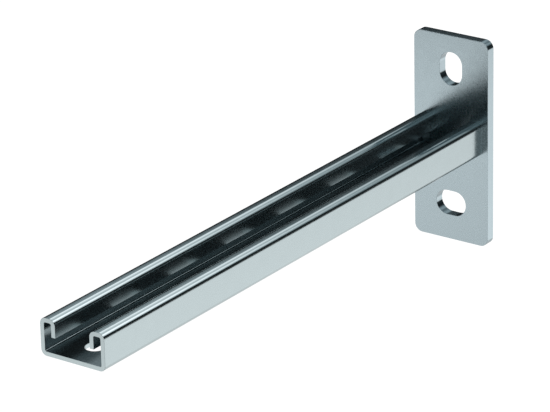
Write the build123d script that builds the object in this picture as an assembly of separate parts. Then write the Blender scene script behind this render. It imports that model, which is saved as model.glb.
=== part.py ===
from build123d import *
import math
import os

# Cantilever strut arm: a slotted wall plate with a lipped channel welded square to it.
# Millimetres. The origin is the middle of the plate's back face, where it meets the wall.
# +X runs out from the wall along the arm, +Y is sideways, +Z is up.

# Wall plate
plate_width = 50.0
plate_height = 125.0
plate_thickness = 6.0
plate_corner_radius = 5.0

# Bolt slots in the plate: the upper one stands upright, the lower one lies across
plate_slot_width = 15.0
plate_slot_length = 20.0
upper_slot_below_top = 20.0
lower_slot_above_bottom = 22.5

# Channel arm, rolled from one strip with its open side up
arm_length = 350.0
arm_width = 41.0
arm_height = 21.0
arm_below_plate_top = 49.0
sheet = 2.5
bend_radius_inside = 1.0
lip_width = 9.5
lip_depth = 10.0

# Slots along the base of the channel
base_slot_width = 11.0
base_slot_length = 25.0
base_slot_pitch = 50.0
first_slot_from_end = 25.0
last_slot_land = 10.0

# Fillet welds: the inside ones stand between the side walls and the lips, clear of the lips
under_weld_leg = 4.0
weld_to_lip_clearance = 1.0
weld_crown = 0.4

# Places worked out from the sizes
bend_radius_outside = bend_radius_inside + sheet
arm_top = plate_height / 2 - arm_below_plate_top
arm_bottom = arm_top - arm_height
plate_face = plate_thickness
arm_end = plate_face + arm_length
wall_inner = arm_width / 2 - sheet
mouth_width = arm_width - 2 * lip_width
room_beside_lip = lip_width - 2 * sheet
inside_weld_leg = room_beside_lip - weld_to_lip_clearance


def strip_face():
    """Section of the rolled strip in the YZ plane: its middle line given the strip's thickness."""
    side = (arm_width - sheet) / 2
    lip = (mouth_width + sheet) / 2
    low = arm_bottom + sheet / 2
    high = arm_top - sheet / 2
    lip_edge = arm_top - lip_depth
    corners = [
        (-lip, lip_edge),
        (-lip, high),
        (-side, high),
        (-side, low),
        (side, low),
        (side, high),
        (lip, high),
        (lip, lip_edge),
    ]
    with BuildSketch(Plane.YZ.offset(plate_face)) as section:
        with BuildLine() as middle:
            FilletPolyline(*corners, radius=bend_radius_inside + sheet / 2)
        trace(middle.line, line_width=sheet)
    return section.sketch


def base_slot_centres():
    """Distances of the slots from the plate's back face, from the open end inwards."""
    half_slot = base_slot_length / 2
    room = arm_length - first_slot_from_end - half_slot - last_slot_land
    count = 1 + math.floor(room / base_slot_pitch)
    return [arm_end - first_slot_from_end - i * base_slot_pitch for i in range(count)]


def make_channel_arm():
    """The lipped channel, with round-ended slots punched through its base."""
    with BuildPart() as arm:
        add(extrude(strip_face(), amount=arm_length))
        with BuildSketch(Plane.XY.offset(arm_bottom)):
            with Locations(*[(x, 0) for x in base_slot_centres()]):
                SlotOverall(base_slot_length, base_slot_width)
        extrude(amount=sheet, mode=Mode.SUBTRACT)
    return arm.part


def make_wall_plate():
    """Flat bar with rounded corners and a slot each side of the arm."""
    upper_slot = plate_height / 2 - upper_slot_below_top
    lower_slot = lower_slot_above_bottom - plate_height / 2
    with BuildPart() as plate:
        with BuildSketch(Plane.YZ):
            RectangleRounded(plate_width, plate_height, plate_corner_radius)
            with Locations((0, upper_slot)):
                SlotOverall(plate_slot_length, plate_slot_width, rotation=90, mode=Mode.SUBTRACT)
            with Locations((0, lower_slot)):
                SlotOverall(plate_slot_length, plate_slot_width, mode=Mode.SUBTRACT)
        extrude(amount=plate_thickness)
    return plate.part


def weld_bead(leg, length):
    """Fillet bead along Z in the corner of two walls: legs along +X and +Y, crowned face, round ends."""
    middle = leg / 2 + weld_crown / math.sqrt(2)
    with BuildSketch() as section:
        with BuildLine():
            Line((0, leg), (0, 0))
            Line((0, 0), (leg, 0))
            ThreePointArc((leg, 0), (middle, middle), (0, leg))
        make_face()
    straight = length - 2 * leg
    bead = extrude(section.sketch, amount=straight / 2, both=True)
    end_face = Pos(0, 0, straight / 2) * section.sketch
    end_axis = Axis((0, 0, straight / 2), (0, -1, 0))
    end = revolve(end_face, axis=end_axis, revolution_arc=90)
    other_end = mirror(end, about=Plane.XY)
    return bead + end + other_end


def make_weld_under_arm():
    """Bead across the flat of the arm's underside, between its two bends."""
    length = arm_width - 2 * bend_radius_outside
    bead = weld_bead(under_weld_leg, length)
    corner = Plane(origin=(plate_face, 0, arm_bottom), x_dir=(1, 0, 0), z_dir=(0, 1, 0))
    return corner * bead


def make_weld_inside_arm():
    """Two beads up the flats inside the side walls, one the mirror of the other."""
    low = arm_bottom + bend_radius_outside
    high = arm_top - bend_radius_outside
    bead = weld_bead(inside_weld_leg, high - low)
    corner = Plane(origin=(plate_face, -wall_inner, (low + high) / 2), x_dir=(1, 0, 0), z_dir=(0, 0, 1))
    right = corner * bead
    left = mirror(right, about=Plane.XZ)
    return Compound(children=[right, left])


os.makedirs("parts", exist_ok=True)
nodes = {
    "wall_plate": make_wall_plate(),
    "channel_arm": make_channel_arm(),
    "weld_under_arm": make_weld_under_arm(),
    "weld_inside_arm": make_weld_inside_arm(),
}
for name, shape in nodes.items():
    export_step(shape, f"parts/{name}.step")
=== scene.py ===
"""Looks of the cantilever strut arm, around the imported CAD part.

The rolled channel, the wall plate and the weld beads, all coated with zinc, and the studio
that they stand in.
"""

import math

import bmesh
import bpy
from bpy.props import FloatProperty, FloatVectorProperty, IntProperty, PointerProperty
from bpy.types import Operator, Panel, PropertyGroup
from mathutils import Matrix, Vector
from mathutils.geometry import tessellate_polygon


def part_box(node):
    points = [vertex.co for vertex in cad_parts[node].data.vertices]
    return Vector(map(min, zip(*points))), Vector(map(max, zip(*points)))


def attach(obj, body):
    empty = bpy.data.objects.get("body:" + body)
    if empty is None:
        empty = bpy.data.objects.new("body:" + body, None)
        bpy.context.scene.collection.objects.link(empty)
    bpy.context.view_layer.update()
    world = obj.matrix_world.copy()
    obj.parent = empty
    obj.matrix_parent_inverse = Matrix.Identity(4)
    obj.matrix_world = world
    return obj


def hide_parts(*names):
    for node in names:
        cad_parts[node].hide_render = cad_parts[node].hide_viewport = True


bl_info = {
    "name": "Cantilever strut arm",
    "version": (1, 0, 0),
    "blender": (4, 5, 0),
    "location": "3D View > Sidebar > Strut arm",
    "description": "Builds a cantilever strut arm from its channel, plate and welds, and a studio",
    "category": "Add Mesh",
}

MM = 0.001

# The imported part, as it is before any piece is made
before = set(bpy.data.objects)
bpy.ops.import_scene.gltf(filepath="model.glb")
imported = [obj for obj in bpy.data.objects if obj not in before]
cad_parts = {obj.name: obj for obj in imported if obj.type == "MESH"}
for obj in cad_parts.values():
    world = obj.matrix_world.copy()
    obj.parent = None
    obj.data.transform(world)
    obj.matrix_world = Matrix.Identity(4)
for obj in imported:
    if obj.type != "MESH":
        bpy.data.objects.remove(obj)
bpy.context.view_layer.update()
plate_low, plate_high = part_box("wall_plate")
arm_low, arm_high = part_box("channel_arm")
under_low, under_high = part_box("weld_under_arm")
inside_low, inside_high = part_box("weld_inside_arm")

# The strip that the channel is rolled from, and the faces it gives the channel inside
SHEET = 2.5 * MM
wall_inner = arm_high.y - SHEET
base_top = arm_low.z + SHEET

# How finely the rounds are divided
BEND_POINTS = 9
SLOT_CORNER_POINTS = 12
BEAD_FACE_POINTS = 14
BEAD_STATIONS = 110
PLATE_CORNER_STEPS = 10
PLATE_SLOT_STEPS = 16
PLATE_EDGE_DEGREES = (0, 30, 60, 90)

# How the zinc varies: its tones, how far patches and grain shift its tone and its roughness, and
# how deep its grain is
DARK_TONE = 0.82
LIGHT_TONE = 1.12
MEAN_TONE = 0.6
PATCH_SHIFT = 0.35
GRAIN_SHIFT = 0.25
ROUGHNESS_SHIFT = 0.08
GRAIN_DEPTH = 0.04 * MM

# Painted shade inside the channel: the colour that darkens the zinc there, its added roughness and
# its loss of metal, which is doubled near the plate, between these distances from the wall
INSIDE_PAINTED_SHADE = (0.425, 0.46, 0.473, 1.0)
INSIDE_ROUGHNESS = 0.07
INSIDE_METAL_LOSS = 0.12
NEAR_PLATE = (0.03, 0.16)

# Roughness added on the outer flats of the side walls, and taken off the plate's cut edges
SIDE_WALL_ROUGHNESS = 0.1
CUT_EDGE_SMOOTHING = 0.15

# The photograph's camera: its place, the way it looks, its turn about that, its lens and sensor
# in millimetres, and the side of the object that it stands on. Angles are in radians
CAMERA_PLACE = (1.6065293, 1.0301373, 0.7306083)
CAMERA_AZIMUTH = -2.5160745569
CAMERA_DIP = 0.3849877576
CAMERA_ROLL = -0.0220132804
CAMERA_LENS = 231.67
CAMERA_SENSOR = 36.0
CAMERA_SIDE = math.radians(35.8)


def length_property(name, description, default):
    """A length in metres that shows with its unit."""
    return FloatProperty(
        name=name,
        description=description,
        default=default,
        min=0.0,
        precision=5,
        subtype="DISTANCE",
        unit="LENGTH",
    )


def share_property(name, description, default):
    """A number from 0 to 1."""
    return FloatProperty(
        name=name,
        description=description,
        default=default,
        min=0.0,
        max=1.0,
        subtype="FACTOR",
    )


def colour_property(name, description, default):
    """A linear colour."""
    return FloatVectorProperty(
        name=name,
        description=description,
        default=default,
        min=0.0,
        max=1.0,
        size=3,
        subtype="COLOR",
    )


class ChannelSizes(PropertyGroup):
    """The rolled strut."""

    length: length_property("Length", "Reach of the channel from the plate", arm_high.x - arm_low.x)
    width: length_property("Width", "Outside width of the section", arm_high.y - arm_low.y)
    height: length_property("Height", "Outside height of the section", arm_high.z - arm_low.z)
    sheet: length_property("Sheet", "Thickness of the rolled strip", SHEET)
    lip_width: length_property("Lip width", "Width of a turned-in lip across the top", 9.5 * MM)
    lip_depth: length_property("Lip depth", "How far a lip turns down", 10 * MM)
    bend_radius: length_property("Bend radius", "Inside radius of the bends", 1.0 * MM)
    slot_width: length_property("Slot width", "Width of the slots in the base", 11 * MM)
    slot_length: length_property("Slot length", "Length of the slots in the base", 25 * MM)
    slot_pitch: length_property("Slot pitch", "Distance between slot middles", 50 * MM)
    first_slot: length_property("First slot", "Open end to the first slot's middle", 25 * MM)
    slot_count: IntProperty(name="Slots", description="Number of base slots", default=7, min=1)
    edge: length_property("Edge radius", "Rounding of the cut and punched edges", 0.12 * MM)


class PlateSizes(PropertyGroup):
    """The wall plate."""

    width: length_property("Width", "Width of the plate", plate_high.y - plate_low.y)
    height: length_property("Height", "Height of the plate", plate_high.z - plate_low.z)
    thickness: length_property("Thickness", "Thickness of the bar", plate_high.x - plate_low.x)
    corner: length_property("Corner radius", "Radius of the plate's corners", 5 * MM)
    slot_width: length_property("Slot width", "Width of both bolt slots", 15 * MM)
    slot_length: length_property("Slot length", "Length of both bolt slots", 20 * MM)
    upper_slot: length_property("Upper slot", "Top edge to the upper slot's middle", 20 * MM)
    lower_slot: length_property("Lower slot", "Bottom edge to the lower slot's middle", 22.5 * MM)
    edge: length_property("Edge radius", "Rounding of the plate's edges", 0.15 * MM)


class WeldSizes(PropertyGroup):
    """The weld beads."""

    under_leg: length_property("Leg under", "Leg of the bead below", under_high.x - under_low.x)
    inside_leg: length_property("Leg inside", "Leg of the two beads", inside_high.x - inside_low.x)
    crown: length_property("Crown", "How far the bead's face bulges", 0.4 * MM)
    ripple_pitch: length_property("Ripple pitch", "Distance between ripples", 1.3 * MM)
    ripple_height: length_property("Ripple height", "Height of a ripple", 0.16 * MM)
    seed: IntProperty(name="Seed", description="Seed of the bead's unevenness", default=7, min=0)


class ZincFinish(PropertyGroup):
    """Colours and roughness of the zinc coating."""

    strip_colour: colour_property("Strip", "Zinc on the rolled strip", (0.546, 0.631, 0.645))
    plate_colour: colour_property("Plate", "Zinc on the plate", (0.535, 0.64, 0.68))
    weld_colour: colour_property("Weld", "Zinc on the weld beads", (0.44, 0.50, 0.52))
    strip_roughness: share_property("Strip roughness", "Mean roughness of the rolled strip", 0.11)
    plate_roughness: share_property("Plate roughness", "Mean roughness of the plate", 0.27)
    weld_roughness: share_property("Weld roughness", "Mean roughness of the weld beads", 0.38)


class StudioSizes(PropertyGroup):
    """Floor and soft light."""

    floor_drop: length_property("Floor", "Height of the plate's middle above the floor", 0.30)
    light_height: length_property("Light height", "Height of the soft light above the arm", 1.0)
    light_strength: FloatProperty(
        name="Light strength",
        description="Brightness of the soft light where it is plain, where 1 is white",
        default=0.795,
        min=0.0,
    )


class Value:
    """A number socket that takes part in Python expressions by adding Math nodes."""

    def __init__(self, build, socket):
        self.build = build
        self.socket = socket

    def _math(self, operation, *terms):
        made = self.build.node("ShaderNodeMath", {"operation": operation}, dict(enumerate(terms)))
        return Value(self.build, made.outputs[0])

    def __add__(self, other):
        return self._math("ADD", self, other)

    def __radd__(self, other):
        return self._math("ADD", other, self)

    def __sub__(self, other):
        return self._math("SUBTRACT", self, other)

    def __rsub__(self, other):
        return self._math("SUBTRACT", other, self)

    def __mul__(self, other):
        return self._math("MULTIPLY", self, other)

    def __rmul__(self, other):
        return self._math("MULTIPLY", other, self)

    def __truediv__(self, other):
        return self._math("DIVIDE", self, other)

    def __rtruediv__(self, other):
        return self._math("DIVIDE", other, self)

    def __neg__(self):
        return self._math("MULTIPLY", self, -1.0)

    def power(self, exponent):
        return self._math("POWER", self, exponent)

    def maximum(self, other):
        return self._math("MAXIMUM", self, other)

    def minimum(self, other):
        return self._math("MINIMUM", self, other)

    def fraction(self):
        return self._math("FRACT", self)

    def absolute(self):
        return self._math("ABSOLUTE", self)

    def clamped(self):
        return self.maximum(0.0).minimum(1.0)

    def rise(self, low, high):
        """0 up to low, 1 from high on, and a smooth step between them."""
        t = ((self - low) / (high - low)).clamped()
        return t * t * (3.0 - 2.0 * t)

    def fall(self, low, high):
        """1 up to low, 0 from high on, and a smooth step between them."""
        return 1.0 - self.rise(low, high)


def dimmed(amount, mask, *more_masks):
    """A factor that is 1, and 1 - amount where every mask is 1."""
    return 1.0 - amount * math.prod(more_masks, start=mask)


class Build:
    """Adds nodes to one tree and links them."""

    def __init__(self, tree):
        self.tree = tree

    def node(self, kind, settings=None, inputs=None):
        """A node of that type. Its settings are set first, then its sockets' values or links."""
        made = self.tree.nodes.new(kind)
        for name, value in (settings or {}).items():
            setattr(made, name, value)
        for key, value in (inputs or {}).items():
            self.feed(made.inputs[key], value)
        return made

    def feed(self, socket, value):
        """Links a socket to a value or a node's first output, or sets it to a constant."""
        if isinstance(value, Value):
            value = value.socket
        if isinstance(value, bpy.types.Node):
            value = value.outputs[0]
        if isinstance(value, bpy.types.NodeSocket):
            self.tree.links.new(value, socket)
        else:
            socket.default_value = value

    def value(self, source, name=0):
        """A node's output as a Value."""
        return Value(self, source.outputs[name])

    def vector(self, x, y, z):
        """A vector of three numbers."""
        return self.node("ShaderNodeCombineXYZ", None, {"X": x, "Y": y, "Z": z})

    def parts(self, source):
        """The three numbers of a vector."""
        split = self.node("ShaderNodeSeparateXYZ", None, {0: source})
        return [self.value(split, axis) for axis in ("X", "Y", "Z")]


class ShapeBuild(Build):
    """A Geometry Nodes tree with named inputs."""

    def __init__(self, name):
        super().__init__(bpy.data.node_groups.new(name, "GeometryNodeTree"))
        self.sockets = {}
        self.entry = self.tree.nodes.new("NodeGroupInput")
        self.exit = self.tree.nodes.new("NodeGroupOutput")
        self.tree.interface.new_socket(
            "Geometry", in_out="OUTPUT", socket_type="NodeSocketGeometry"
        )

    def size(self, name, kind="NodeSocketFloat"):
        """A named input of the tree."""
        item = self.tree.interface.new_socket(name, in_out="INPUT", socket_type=kind)
        self.sockets[name] = item.identifier
        return Value(self, self.entry.outputs[name])

    def straight(self, start, end):
        """A straight curve."""
        return self.node("GeometryNodeCurvePrimitiveLine", None, {"Start": start, "End": end})

    def sweep(self, path, section, closed=True, scale=1.0):
        """The section run along the path. closed: its two ends are filled."""
        return self.node(
            "GeometryNodeCurveToMesh",
            None,
            {"Curve": path, "Profile Curve": section, "Scale": scale, "Fill Caps": closed},
        )

    def scaled(self, vector, scale):
        """A vector times a number."""
        inputs = {0: vector, "Scale": scale}
        return self.node("ShaderNodeVectorMath", {"operation": "SCALE"}, inputs)

    def finish(self, geometry):
        """Ends the tree in Realize Instances and Set Material."""
        material = self.size("Material", "NodeSocketMaterial")
        whole = self.node("GeometryNodeRealizeInstances", None, {"Geometry": geometry})
        coated = self.node(
            "GeometryNodeSetMaterial", None, {"Geometry": whole, "Material": material}
        )
        self.tree.links.new(coated.outputs[0], self.exit.inputs[0])

    def make(self, piece_name, values):
        """Runs the tree with these input values and gives its result as a plain mesh object."""
        host = new_object(piece_name, bpy.data.meshes.new(piece_name))
        maker = host.modifiers.new("Shape", "NODES")
        maker.node_group = self.tree
        for name, value in values.items():
            maker[self.sockets[name]] = value
        return plain(host)


class ShaderBuild(Build):
    """The node tree of a material or the world, emptied first."""

    def __init__(self, owner):
        owner.use_nodes = True
        owner.node_tree.nodes.clear()
        super().__init__(owner.node_tree)

    def place(self):
        """Object coordinates."""
        return self.node("ShaderNodeTexCoord").outputs["Object"]

    def noise(self, place, scale, detail, roughness=0.5):
        """Noise about 0.5, as a Value."""
        inputs = {"Vector": place, "Scale": scale, "Detail": detail, "Roughness": roughness}
        return self.value(self.node("ShaderNodeTexNoise", None, inputs))

    def mix(self, blend, factor, first, second):
        """Two colours mixed. The Mix node's colours are its inputs 6 and 7 and its output 2."""
        made = self.node(
            "ShaderNodeMix",
            {"data_type": "RGBA", "blend_type": blend},
            {"Factor": factor, 6: first, 7: second},
        )
        return made.outputs[2]

    def ray_kinds(self):
        """Whether a ray comes from the camera, and whether from a shiny or clear surface."""
        path = self.node("ShaderNodeLightPath")
        camera_ray = self.value(path, "Is Camera Ray")
        glossy_ray = self.value(path, "Is Glossy Ray")
        clear_ray = self.value(path, "Is Transmission Ray")
        return camera_ray, (glossy_ray + clear_ray).clamped()


def new_object(name, data):
    """An object with that data, in the scene."""
    made = bpy.data.objects.new(name, data)
    bpy.context.scene.collection.objects.link(made)
    return made


def new_mesh(name, shape):
    """A mesh from a finished bmesh, which is freed."""
    mesh = bpy.data.meshes.new(name)
    shape.to_mesh(mesh)
    shape.free()
    return mesh


def plain(host):
    """Applies the object's modifiers: its mesh becomes the evaluated one."""
    bpy.context.view_layer.update()
    graph = bpy.context.evaluated_depsgraph_get()
    baked = bpy.data.meshes.new_from_object(host.evaluated_get(graph), depsgraph=graph)
    old = host.data
    host.modifiers.clear()
    host.data = baked
    baked.name = host.name
    bpy.data.meshes.remove(old)
    return host


def soften_edges(piece, radius):
    """Rounds the piece's sharp edges."""
    bevel = piece.modifiers.new("Edges", "BEVEL")
    bevel.width = radius
    bevel.segments = 2
    bevel.limit_method = "ANGLE"
    bevel.angle_limit = math.radians(40)
    bevel.use_clamp_overlap = False
    bevel.loop_slide = False
    plain(piece)


def shade(piece, sharp_degrees=50):
    """Smooth shading with flats that stay flat."""
    piece.data.polygons.foreach_set("use_smooth", [True] * len(piece.data.polygons))
    piece.data.set_sharp_from_angle(angle=math.radians(sharp_degrees))
    even = piece.modifiers.new("Normals", "WEIGHTED_NORMAL")
    even.keep_sharp = True
    plain(piece)


def settle(piece, node):
    """Puts a finished piece in the frame in place of its CAD node."""
    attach(piece, "root")
    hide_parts(node)


def inside_of_channel(build, place):
    """1 on the faces inside the channel, the lips' too.

    0 on its outside, on its cut end and in the bends at its foot.
    """
    x, y, z = build.parts(place)
    across = y.absolute()
    between_walls = across.fall(wall_inner + 0.2 * MM, wall_inner + 0.4 * MM)
    over_base = z.rise(base_top - 0.4 * MM, base_top - 0.1 * MM)
    under_top = z.fall(arm_high.z - 2.4 * MM, arm_high.z - 1.5 * MM)
    behind_end = x.fall(arm_high.x - 0.2 * MM, arm_high.x - 0.1 * MM)
    beside_wall = across.rise(wall_inner - 1.1 * MM, wall_inner - 0.7 * MM)
    at_base = z.fall(base_top + 0.7 * MM, base_top + 1.1 * MM)
    out_of_bend = 1.0 - beside_wall * at_base
    return between_walls * over_base * under_top * behind_end * out_of_bend


def outer_flat_of_side_wall(build, place):
    """1 on the outer flats of the channel's side walls."""
    y = build.parts(place)[1]
    return y.absolute().rise(arm_high.y - 0.6 * MM, arm_high.y - 0.2 * MM)


def cut_edge_of_plate(build, place):
    """1 on the plate's cut edges and slot walls, 0 on its front and back."""
    x = build.parts(place)[0]
    over_back = x.rise(plate_low.x + 0.1 * MM, plate_low.x + 0.3 * MM)
    under_front = x.fall(plate_high.x - 0.3 * MM, plate_high.x - 0.1 * MM)
    return over_back * under_front


def zinc_material(name, colour, roughness, grain, mottle, relief, shade_inside_dull_walls=False, cut=False):
    """Zinc-coated steel.

    grain: cells of its fine grain per metre along X, Y and Z. mottle: its patches per metre.
    relief: strength of the grain's bump.
    hollow: painted shade darkens the zinc inside the channel, which is also duller there and least
    like metal near the plate. The outer flats of the side walls are dull too.
    cut: the plate's cut edges are smoother than its faces.
    """
    material = bpy.data.materials.new(name)
    build = ShaderBuild(material)
    place = build.place()
    stretched = build.node("ShaderNodeVectorMath", {"operation": "MULTIPLY"}, {0: place, 1: grain})
    fine = build.noise(stretched, 1.0, detail=3.0, roughness=0.6) - 0.5
    patches = build.noise(place, mottle, detail=4.0) - 0.5
    dark = tuple(DARK_TONE * c for c in colour) + (1.0,)
    light = tuple(min(1.0, LIGHT_TONE * c) for c in colour) + (1.0,)
    tone = MEAN_TONE + patches * PATCH_SHIFT + fine * GRAIN_SHIFT
    coat = build.mix("MIX", tone.clamped(), dark, light)
    rough = roughness + (fine + patches) * ROUGHNESS_SHIFT
    metal = 1.0
    if shade_inside_dull_walls:
        inside = inside_of_channel(build, place)
        near_plate = build.parts(place)[0].fall(*NEAR_PLATE)
        # Painted shade: the zinc inside the channel is multiplied by a darker colour
        coat = build.mix("MULTIPLY", inside, coat, INSIDE_PAINTED_SHADE)
        metal = 1.0 - inside * (1.0 + near_plate) * INSIDE_METAL_LOSS
        rough = rough + inside * INSIDE_ROUGHNESS
        rough = rough + outer_flat_of_side_wall(build, place) * SIDE_WALL_ROUGHNESS
    if cut:
        rough = rough - cut_edge_of_plate(build, place) * CUT_EDGE_SMOOTHING
    bump = build.node(
        "ShaderNodeBump", None, {"Strength": relief, "Distance": GRAIN_DEPTH, "Height": fine}
    )
    shader = build.node(
        "ShaderNodeBsdfPrincipled",
        None,
        {"Metallic": metal, "Base Color": coat, "Roughness": rough.clamped(), "Normal": bump},
    )
    build.node("ShaderNodeOutputMaterial", None, {"Surface": shader})
    return material


def strip_outline(build, sheet):
    """Outline of the rolled strip: its middle line, bent at six corners and given its thickness."""
    width = build.size("Width")
    height = build.size("Height")
    lip_width = build.size("Lip width")
    lip_depth = build.size("Lip depth")
    bend_radius = build.size("Bend radius")
    side = (width - sheet) / 2.0
    lip = width / 2.0 - lip_width + sheet / 2.0
    low = sheet / 2.0
    high = height - sheet / 2.0
    lip_edge = height - lip_depth
    corners = [
        (-lip, lip_edge),
        (-lip, high),
        (-side, high),
        (-side, low),
        (side, low),
        (side, high),
        (lip, high),
        (lip, lip_edge),
    ]
    picker = build.node("GeometryNodeIndexSwitch", {"data_type": "VECTOR"})
    while len(picker.index_switch_items) < len(corners):
        picker.index_switch_items.new()
    build.feed(picker.inputs["Index"], build.node("GeometryNodeInputIndex"))
    for number, (across, up) in enumerate(corners):
        build.feed(picker.inputs[number + 1], build.vector(across, up, 0.0))
    points = build.node("GeometryNodeMeshLine", None, {"Count": len(corners)})
    line = build.node("GeometryNodeMeshToCurve", None, {"Mesh": points})
    cornered = build.node("GeometryNodeSetPosition", None, {"Geometry": line, "Position": picker})
    middle = build.node(
        "GeometryNodeFilletCurve",
        {"mode": "POLY"},
        {"Curve": cornered, "Count": BEND_POINTS, "Radius": bend_radius + sheet / 2.0},
    )
    gauge = build.straight(
        build.vector(sheet / -2.0, 0.0, 0.0),
        build.vector(sheet / 2.0, 0.0, 0.0),
    )
    ribbon = build.sweep(middle, gauge, closed=False)
    neighbours = build.node("GeometryNodeInputMeshEdgeNeighbors")
    border = build.node(
        "FunctionNodeCompare",
        {"data_type": "INT", "operation": "EQUAL"},
        {"A": neighbours, "B": 1},
    )
    return build.node("GeometryNodeMeshToCurve", None, {"Mesh": ribbon, "Selection": border})


def base_punches(build, sheet, length):
    """A row of round-ended punches that stand through the channel's base."""
    slot_width = build.size("Slot width")
    slot_length = build.size("Slot length")
    slot_pitch = build.size("Slot pitch")
    first_slot = build.size("First slot")
    slot_count = build.size("Slots", "NodeSocketInt")
    box = build.node(
        "GeometryNodeCurvePrimitiveQuadrilateral",
        None,
        {"Width": slot_width, "Height": slot_length},
    )
    just_under_half = 0.4999
    outline = build.node(
        "GeometryNodeFilletCurve",
        {"mode": "POLY"},
        {"Curve": box, "Count": SLOT_CORNER_POINTS, "Radius": slot_width * just_under_half},
    )
    # It runs from one thickness under the base to a little above its inner face
    above_base = 1.6
    depth = build.straight(
        build.vector(0.0, 0.0, -sheet),
        build.vector(0.0, 0.0, sheet * above_base),
    )
    punch = build.node(
        "GeometryNodeTransform",
        None,
        {"Geometry": build.sweep(depth, outline), "Rotation": (math.radians(-90), 0.0, 0.0)},
    )
    row = build.node(
        "GeometryNodeMeshLine",
        None,
        {
            "Count": slot_count,
            "Start Location": build.vector(0.0, 0.0, length - first_slot),
            "Offset": build.vector(0.0, 0.0, -slot_pitch),
        },
    )
    punches = build.node("GeometryNodeInstanceOnPoints", None, {"Points": row, "Instance": punch})
    return build.node("GeometryNodeRealizeInstances", None, {"Geometry": punches})


def channel_tree():
    """The strip's outline swept along the arm, and the slots punched in its base."""
    build = ShapeBuild("Rolled strut with base slots")
    length = build.size("Length")
    sheet = build.size("Sheet")
    start = build.size("Start", "NodeSocketVector")
    run = build.straight((0.0, 0.0, 0.0), build.vector(0.0, 0.0, length))
    strut = build.sweep(run, strip_outline(build, sheet))
    slotted = build.node(
        "GeometryNodeMeshBoolean",
        {"operation": "DIFFERENCE", "solver": "EXACT"},
        {"Mesh 1": strut, "Mesh 2": base_punches(build, sheet, length)},
    )
    placed = build.node(
        "GeometryNodeTransform",
        None,
        {
            "Geometry": slotted,
            "Rotation": (math.radians(90), 0.0, math.radians(90)),
            "Translation": start,
        },
    )
    build.finish(placed)
    return build


def bead_section(build, leg, bulge):
    """Quarter of a disc in the corner of two walls, with its face drawn in to the bead's crown."""
    crown = build.size("Crown")
    quarter = build.node(
        "GeometryNodeCurveArc",
        {"mode": "RADIUS"},
        {
            "Resolution": BEAD_FACE_POINTS,
            "Radius": leg,
            "Start Angle": 0.0,
            "Sweep Angle": math.radians(90),
            "Connect Center": True,
        },
    )
    inward = 1.0 - 1.0 / math.sqrt(2) - crown / leg
    drawn_in = build.scaled(build.node("GeometryNodeInputPosition"), 1.0 - inward * bulge)
    return build.node("GeometryNodeSetPosition", None, {"Geometry": quarter, "Position": drawn_in})


def ripple_lift(build, along, bulge):
    """How far the bead's face stands out: uneven crescent ripples that drift, none at its toes."""
    lumps_per_metre = 260.0
    mean_wave = 0.7
    pitch = build.size("Ripple pitch")
    ripple = build.size("Ripple height")
    seed = build.size("Seed")
    uneven = build.node(
        "ShaderNodeTexNoise",
        {"noise_dimensions": "4D"},
        {
            "Vector": build.node("GeometryNodeInputPosition"),
            "W": seed,
            "Scale": lumps_per_metre,
            "Detail": 2.0,
        },
    )
    wander = build.value(uneven) - 0.5
    crest = bulge.clamped()
    crescent = 1.1 * crest
    drift = 0.8 * wander
    phase = (along / pitch + crescent + drift).fraction()
    wave = (4.0 * phase * (1.0 - phase)).power(0.6) - mean_wave
    unevenness = 1.4 * wander
    return (wave + unevenness) * ripple * crest.power(0.4)


def weld_tree():
    """Fillet beads in a row of corners: a crowned section swept along each joint, with ripples."""
    build = ShapeBuild("Rippled fillet weld")
    smallest_end = 0.002
    leg = build.size("Leg")
    length = build.size("Length")
    x, y, z = build.parts(build.node("GeometryNodeInputPosition"))
    bulge = 2.0 * x * y / (leg * leg)
    path = build.straight(
        build.vector(0.0, 0.0, length / -2.0),
        build.vector(0.0, 0.0, length / 2.0),
    )
    stations = build.node(
        "GeometryNodeResampleCurve", None, {"Curve": path, "Count": BEAD_STATIONS}
    )
    from_end = length / 2.0 - z.absolute()
    into_round_end = 1.0 - (from_end / leg).minimum(1.0)
    taper = (1.0 - into_round_end * into_round_end).maximum(smallest_end).power(0.5)
    bead = build.sweep(stations, bead_section(build, leg, bulge), scale=taper)
    outward = build.node("GeometryNodeInputNormal")
    offset = build.scaled(outward, ripple_lift(build, z, bulge))
    rippled = build.node("GeometryNodeSetPosition", None, {"Geometry": bead, "Offset": offset})
    corners = build.node(
        "GeometryNodeMeshLine",
        None,
        {
            "Count": build.size("Count", "NodeSocketInt"),
            "Start Location": build.size("Start", "NodeSocketVector"),
            "Offset": build.size("Step", "NodeSocketVector"),
        },
    )
    turn_step = build.size("Turn step", "NodeSocketVector")
    turned = build.node(
        "ShaderNodeVectorMath",
        {"operation": "ADD"},
        {
            0: build.size("Turn", "NodeSocketVector"),
            1: build.scaled(turn_step, build.node("GeometryNodeInputIndex")),
        },
    )
    beads = build.node(
        "GeometryNodeInstanceOnPoints",
        None,
        {"Points": corners, "Instance": rippled, "Rotation": turned},
    )
    build.finish(beads)
    return build


def round_rectangle(width, height, corner, steps):
    """Points around a rounded rectangle about the origin, counter-clockwise."""
    points = []
    for number, (side, up) in enumerate([(1, 1), (-1, 1), (-1, -1), (1, -1)]):
        middle = Vector((side * (width / 2 - corner), up * (height / 2 - corner)))
        for i in range(steps + 1):
            angle = math.radians(90) * (number + i / steps)
            points.append(middle + corner * Vector((math.cos(angle), math.sin(angle))))
    return points


def rounded_levels(thickness, edge):
    """Depth and inset of each ring of points, from the plate's front to its back."""
    turns = [math.radians(degrees) for degrees in PLATE_EDGE_DEGREES]
    arc = [(edge * (1 - math.sin(turn)), edge * (1 - math.cos(turn))) for turn in turns]
    front = [(thickness - drop, inset) for drop, inset in reversed(arc)]
    return front + arc


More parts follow.
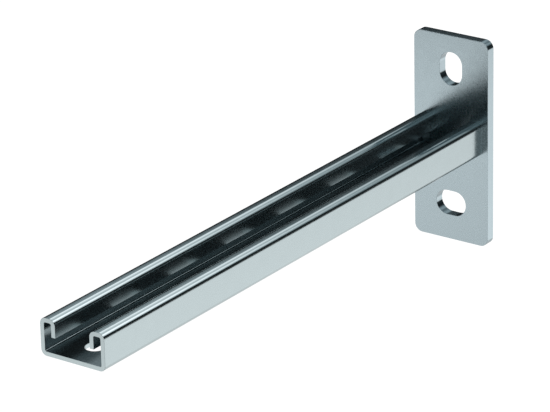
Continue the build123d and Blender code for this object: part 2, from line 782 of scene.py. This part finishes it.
def slotted_bar(name, sizes):
    """The plate: rounded outline and two slots, each run through its thickness in rings."""
    levels = rounded_levels(sizes.thickness, sizes.edge)
    upper = sizes.height / 2 - sizes.upper_slot
    lower = sizes.lower_slot - sizes.height / 2
    slot_round = sizes.slot_width / 2
    # Middle, width, height, corner radius, whether an inset shrinks or widens it, steps per corner
    outlines = [
        (0.0, sizes.width, sizes.height, sizes.corner, -1, PLATE_CORNER_STEPS),
        (upper, sizes.slot_width, sizes.slot_length, slot_round, 1, PLATE_SLOT_STEPS),
        (lower, sizes.slot_length, sizes.slot_width, slot_round, 1, PLATE_SLOT_STEPS),
    ]
    shape = bmesh.new()
    caps = {0: [], len(levels) - 1: []}
    for centre, width, height, corner, sign, steps in outlines:
        rings = []
        for depth, inset in levels:
            grow = sign * inset
            loop = round_rectangle(width + 2 * grow, height + 2 * grow, corner + grow, steps)
            rings.append([shape.verts.new((depth, p.x, centre + p.y)) for p in loop])
        for ring, next_ring in zip(rings, rings[1:]):
            for i in range(len(ring)):
                j = (i + 1) % len(ring)
                shape.faces.new((ring[i], ring[j], next_ring[j], next_ring[i]))
        for level in caps:
            caps[level].append(rings[level])
    for loops in caps.values():
        corners = [vert for loop in loops for vert in loop]
        for triangle in tessellate_polygon([[vert.co for vert in loop] for loop in loops]):
            shape.faces.new([corners[i] for i in triangle])
    bmesh.ops.remove_doubles(shape, verts=shape.verts, dist=1e-6)
    bmesh.ops.recalc_face_normals(shape, faces=shape.faces)
    return new_object(name, new_mesh(name, shape))


class STRUTARM_OT_roll_channel(Operator):
    """Rolls the lipped channel and punches the slots in its base"""

    bl_idname = "strutarm.roll_channel"
    bl_label = "Roll channel"

    def execute(self, context):
        sizes = context.scene.strutarm_channel
        finish = context.scene.strutarm_finish
        coat = zinc_material(
            "zinc_coated_strip",
            finish.strip_colour,
            finish.strip_roughness,
            grain=(25.0, 2200.0, 2200.0),
            mottle=170.0,
            relief=0.08,
            shade_inside_dull_walls=True,
        )
        values = {
            "Length": sizes.length,
            "Width": sizes.width,
            "Height": sizes.height,
            "Sheet": sizes.sheet,
            "Lip width": sizes.lip_width,
            "Lip depth": sizes.lip_depth,
            "Bend radius": sizes.bend_radius,
            "Slot width": sizes.slot_width,
            "Slot length": sizes.slot_length,
            "Slot pitch": sizes.slot_pitch,
            "First slot": sizes.first_slot,
            "Slots": sizes.slot_count,
            "Start": (arm_low.x, 0.0, arm_low.z),
            "Material": coat,
        }
        channel = channel_tree().make("strut_channel", values)
        soften_edges(channel, sizes.edge)
        shade(channel)
        settle(channel, "channel_arm")
        return {"FINISHED"}


class STRUTARM_OT_cut_wall_plate(Operator):
    """Cuts the wall plate with its two bolt slots"""

    bl_idname = "strutarm.cut_wall_plate"
    bl_label = "Cut wall plate"

    def execute(self, context):
        finish = context.scene.strutarm_finish
        plate = slotted_bar("wall_plate_bar", context.scene.strutarm_plate)
        coat = zinc_material(
            "zinc_coated_plate",
            finish.plate_colour,
            finish.plate_roughness,
            grain=(1500.0, 1500.0, 1500.0),
            mottle=240.0,
            relief=0.3,
            cut=True,
        )
        plate.data.materials.append(coat)
        shade(plate)
        settle(plate, "wall_plate")
        return {"FINISHED"}


class STRUTARM_OT_lay_weld_beads(Operator):
    """Lays the bead under the arm and the two beads inside its walls"""

    bl_idname = "strutarm.lay_weld_beads"
    bl_label = "Lay weld beads"

    def execute(self, context):
        sizes = context.scene.strutarm_welds
        finish = context.scene.strutarm_finish
        coat = zinc_material(
            "zinc_coated_weld",
            finish.weld_colour,
            finish.weld_roughness,
            grain=(1800.0, 1800.0, 1800.0),
            mottle=700.0,
            relief=0.8,
        )
        tree = weld_tree()
        common = {
            "Crown": sizes.crown,
            "Ripple pitch": sizes.ripple_pitch,
            "Ripple height": sizes.ripple_height,
            "Material": coat,
        }
        under = tree.make(
            "weld_bead_under",
            {
                **common,
                "Leg": sizes.under_leg,
                "Length": under_high.y - under_low.y,
                "Seed": float(sizes.seed),
                "Count": 1,
                "Start": (under_low.x, 0.0, under_high.z),
                "Step": (0.0, 0.0, 0.0),
                "Turn": (math.radians(90), 0.0, 0.0),
                "Turn step": (0.0, 0.0, 0.0),
            },
        )
        shade(under, sharp_degrees=70)
        settle(under, "weld_under_arm")
        inside = tree.make(
            "weld_beads_inside",
            {
                **common,
                "Leg": sizes.inside_leg,
                "Length": inside_high.z - inside_low.z,
                "Seed": float(sizes.seed + 4),
                "Count": 2,
                "Start": (inside_low.x, inside_low.y, (inside_low.z + inside_high.z) / 2),
                "Step": (0.0, inside_high.y - inside_low.y, 0.0),
                "Turn": (0.0, 0.0, 0.0),
                "Turn step": (0.0, 0.0, math.radians(-90)),
            },
        )
        shade(inside, sharp_degrees=70)
        settle(inside, "weld_inside_arm")
        return {"FINISHED"}


class STRUTARM_OT_set_studio(Operator):
    """Sets the floor, the dark studio round it, the soft light above, the world and the camera"""

    bl_idname = "strutarm.set_studio"
    bl_label = "Set studio"

    def execute(self, context):
        sizes = context.scene.strutarm_studio
        lay_floor(sizes)
        raise_studio_walls(sizes)
        hang_soft_light(sizes)
        light_world()
        place_camera()
        context.scene.view_settings.view_transform = "Standard"
        return {"FINISHED"}


def flat_card(name, half_x, half_y, height, middle_x=0.0):
    """A level rectangle, as part of the stage."""
    corners = [
        (middle_x - half_x, -half_y, height),
        (middle_x + half_x, -half_y, height),
        (middle_x + half_x, half_y, height),
        (middle_x - half_x, half_y, height),
    ]
    mesh = bpy.data.meshes.new(name)
    mesh.from_pydata(corners, [], [(0, 1, 2, 3)])
    card = new_object(name, mesh)
    return card


def mirrored_floor(x, y, away):
    """Brightness of the floor in reflections. away: the distance from the object's middle."""
    # It fades with distance, and reaches further in front of the object and on the camera's side
    reach = 1.5 + 0.5 * x.rise(-0.1, 0.4) + 0.2 * y.rise(-0.2, 0.3) + 1.05 * y.rise(0.6, 1.1)
    fading_out = 1.06 / (1.0 + (away / reach).power(2.2))
    # Painted shadows of the object, the arm and the plate on the floor, and other darker and
    # brighter places round the object
    far_off = dimmed(0.9, away.rise(1.5, 3.4))
    painted_shadow_under_object = dimmed(0.25, away.fall(0.1, 0.4))
    in_front = dimmed(0.3, away.fall(0.35, 0.85), x.rise(0.0, 0.3))
    painted_shadow_below_arm = dimmed(0.8, x.rise(0.1, 0.3), y.absolute().fall(0.08, 0.2))
    behind_arm = dimmed(0.75, (-x).rise(0.0, 0.3), (-y).rise(0.15, 0.5))
    painted_shadow_behind_plate = dimmed(0.45, (-x).rise(0.18, 0.34), y.absolute().fall(0.1, 0.25))
    beside_arm = 1.0 + 0.04 * y.rise(0.2, 0.4) + 0.1 * y.rise(0.6, 1.1)
    # Painted reflection for the plate's front: it reflects a place past this slanting line, which
    # glows bright, and dark beyond
    past_end = (-y - 0.56 * x).rise(-0.03, 0.04) * x.rise(0.3, 0.6)
    before_plate = 1.0 + 0.78 * past_end * away.rise(0.79, 1.06)
    beyond_it = dimmed(0.8, away.rise(0.95, 1.3), x.rise(0.3, 0.6), (-y).rise(0.25, 0.48))
    # Painted dark reflection of the camera: the floor is dark where the camera stands
    forward = x * math.cos(CAMERA_SIDE) + y * math.sin(CAMERA_SIDE)
    beside = (y * math.cos(CAMERA_SIDE) - x * math.sin(CAMERA_SIDE)).absolute()
    painted_camera_reflection = dimmed(0.85, forward.rise(0.25, 0.5), beside.fall(0.12, 0.3))
    places = [
        far_off,
        painted_shadow_under_object,
        in_front,
        painted_shadow_below_arm,
        behind_arm,
        painted_shadow_behind_plate,
        beside_arm,
        before_plate,
        beyond_it,
        painted_camera_reflection,
    ]
    return math.prod(places, start=fading_out)


def lay_floor(sizes):
    """White floor that keeps the object's shadow, and that a camera under it looks through."""
    floor = flat_card("studio_floor", half_x=14.0, half_y=14.0, height=-sizes.floor_drop)
    material = bpy.data.materials.new("white_floor")
    build = ShaderBuild(material)
    camera_ray, mirrored = build.ray_kinds()
    x, y = build.parts(build.place())[:2]
    above_zero = 0.0001
    away = (x * x + y * y + above_zero).power(0.5)
    to_camera = 1.2 + 0.05 * away.rise(0.3, 1.0)
    in_reflections = 1.16 * mirrored_floor(x, y, away)
    strength = to_camera * camera_ray + in_reflections * mirrored
    glow = build.node("ShaderNodeEmission", None, {"Strength": strength})
    mid_grey = (0.5, 0.5, 0.5, 1.0)
    diffuse = build.node("ShaderNodeBsdfDiffuse", None, {"Color": mid_grey})
    glow_share = 0.84
    bright = build.node("ShaderNodeMixShader", None, {0: glow_share, 1: diffuse, 2: glow})
    clear = build.node("ShaderNodeBsdfTransparent")
    from_below = build.value(build.node("ShaderNodeNewGeometry"), "Backfacing") * camera_ray
    surface = build.node("ShaderNodeMixShader", None, {0: from_below, 1: bright, 2: clear})
    build.node("ShaderNodeOutputMaterial", None, {"Surface": surface})
    floor.data.materials.append(material)


def raise_studio_walls(sizes):
    """The unlit studio round the object: a dark dome that metal shows and the camera doesn't."""
    shape = bmesh.new()
    bmesh.ops.create_uvsphere(shape, u_segments=48, v_segments=24, radius=9.0)
    under = [v for v in shape.verts if v.co.z < -0.01]
    bmesh.ops.delete(shape, geom=under, context="VERTS")
    bmesh.ops.translate(shape, verts=shape.verts, vec=(0.0, 0.0, -sizes.floor_drop))
    walls = new_object("studio_walls", new_mesh("studio_walls", shape))
    walls.visible_camera = False
    walls.visible_shadow = False
    material = bpy.data.materials.new("dark_studio")
    build = ShaderBuild(material)
    near_floor = build.parts(build.place())[2].fall(-0.3, 3.4)
    strength = 0.015 + 0.026 * near_floor * near_floor
    cool_grey = (0.75, 0.94, 1.0, 1.0)
    glow = build.node("ShaderNodeEmission", None, {"Color": cool_grey, "Strength": strength})
    build.node("ShaderNodeOutputMaterial", None, {"Surface": glow})
    walls.data.materials.append(material)


def diffuser_pattern(x, y):
    """Brightness across the diffuser: dim round its rim, with a bright tube along each side."""
    # Metres in from its back edge, which slants, and slants the other way past its turn
    turn = 0.45
    in_from_back = x + 1.21 - 0.30 * y.minimum(turn) + 0.45 * (y - turn).maximum(0.0)
    middle = in_from_back.rise(-0.2, 0.45) + 0.27 * in_from_back.rise(-0.75, -0.35)
    rim = 0.105 + 0.43 * in_from_back.rise(-0.3, 0.3)
    back = rim + (middle - rim) * y.rise(-1.35, -0.85)
    front = dimmed(0.75, x.rise(-0.35, 0.25)) * x.fall(1.3, 1.9)
    sides = y.fall(1.08, 1.7) * y.rise(-1.95, -1.0)
    far_tube = 0.87 * y.rise(0.10, 0.5) * dimmed(0.8, y.rise(0.6, 1.1))
    near_tube = 0.4 * y.fall(-0.75, -0.2)
    valley = dimmed(0.3, (y - 0.08).absolute().fall(0.03, 0.4))
    return back * front * sides * valley * (1.0 + far_tube + near_tube)


def hang_soft_light(sizes):
    """A wide diffuser overhead, towards the wall. Its dim parts are cooler than its bright ones."""
    light = flat_card(
        "soft_light", half_x=2.1, half_y=2.3, height=sizes.light_height, middle_x=-0.1
    )
    light.visible_camera = False
    light.visible_shadow = False
    material = bpy.data.materials.new("diffuser")
    build = ShaderBuild(material)
    x, y = build.parts(build.place())[:2]
    strength = diffuser_pattern(x, y) * sizes.light_strength
    red = 0.8 + 0.15 * strength.rise(0.0, 1.0) + 0.07 * strength.rise(1.0, 1.8)
    blue = 1.05 - 0.05 * strength.rise(0.0, 1.0)
    tint = build.vector(red, 0.98, blue)
    glow = build.node("ShaderNodeEmission", None, {"Color": tint, "Strength": strength})
    build.node("ShaderNodeOutputMaterial", None, {"Surface": glow})
    light.data.materials.append(material)


def light_world():
    """White to the camera and in reflections, and a soft grey fill for the rest."""
    world = bpy.data.worlds.new("white_studio")
    bpy.context.scene.world = world
    build = ShaderBuild(world)
    camera_ray, mirrored = build.ray_kinds()
    fill = 0.5
    strength = fill + (1.0 - fill) * (camera_ray + mirrored).clamped()
    sky = build.node(
        "ShaderNodeBackground", None, {"Color": (1.0, 1.0, 1.0, 1.0), "Strength": strength}
    )
    build.node("ShaderNodeOutputWorld", None, {"Surface": sky})


def place_camera():
    """The photograph's camera: a long lens a little over two metres away."""
    forward = Vector(
        (
            math.cos(CAMERA_AZIMUTH) * math.cos(CAMERA_DIP),
            math.sin(CAMERA_AZIMUTH) * math.cos(CAMERA_DIP),
            -math.sin(CAMERA_DIP),
        )
    )
    level = forward.cross(Vector((0.0, 0.0, 1.0))).normalized()
    upright = level.cross(forward)
    right = level * math.cos(CAMERA_ROLL) + upright * math.sin(CAMERA_ROLL)
    up = upright * math.cos(CAMERA_ROLL) - level * math.sin(CAMERA_ROLL)
    lens = bpy.data.cameras.new("photo_camera")
    lens.lens = CAMERA_LENS
    lens.sensor_width = CAMERA_SENSOR
    lens.sensor_fit = "HORIZONTAL"
    lens.clip_end = 60.0
    camera = new_object("photo_camera", lens)
    turn = Matrix((right, up, -forward)).transposed().to_4x4()
    camera.matrix_world = Matrix.Translation(CAMERA_PLACE) @ turn
    bpy.context.scene.camera = camera


class STRUTARM_PT_panel(Panel):
    """The arm's pieces, in the 3D view's sidebar"""

    bl_idname = "STRUTARM_PT_panel"
    bl_label = "Strut arm"
    bl_space_type = "VIEW_3D"
    bl_region_type = "UI"
    bl_category = "Strut arm"

    def draw(self, context):
        for operator in OPERATORS:
            self.layout.operator(operator.bl_idname)


OPERATORS = (
    STRUTARM_OT_roll_channel,
    STRUTARM_OT_cut_wall_plate,
    STRUTARM_OT_lay_weld_beads,
    STRUTARM_OT_set_studio,
)
SETTINGS = {
    "strutarm_channel": ChannelSizes,
    "strutarm_plate": PlateSizes,
    "strutarm_welds": WeldSizes,
    "strutarm_finish": ZincFinish,
    "strutarm_studio": StudioSizes,
}


def register():
    """Registers the settings, the operators and the panel."""
    for group in SETTINGS.values():
        bpy.utils.register_class(group)
    for operator in OPERATORS:
        bpy.utils.register_class(operator)
    bpy.utils.register_class(STRUTARM_PT_panel)
    for name, group in SETTINGS.items():
        setattr(bpy.types.Scene, name, PointerProperty(type=group))


def unregister():
    """Takes away what register added."""
    for name in SETTINGS:
        delattr(bpy.types.Scene, name)
    bpy.utils.unregister_class(STRUTARM_PT_panel)
    for operator in reversed(OPERATORS):
        bpy.utils.unregister_class(operator)
    for group in reversed(SETTINGS.values()):
        bpy.utils.unregister_class(group)


def main():
    register()
    bpy.ops.strutarm.roll_channel()
    bpy.ops.strutarm.cut_wall_plate()
    bpy.ops.strutarm.lay_weld_beads()
    bpy.ops.strutarm.set_studio()


if __name__ == "__main__":
    main()
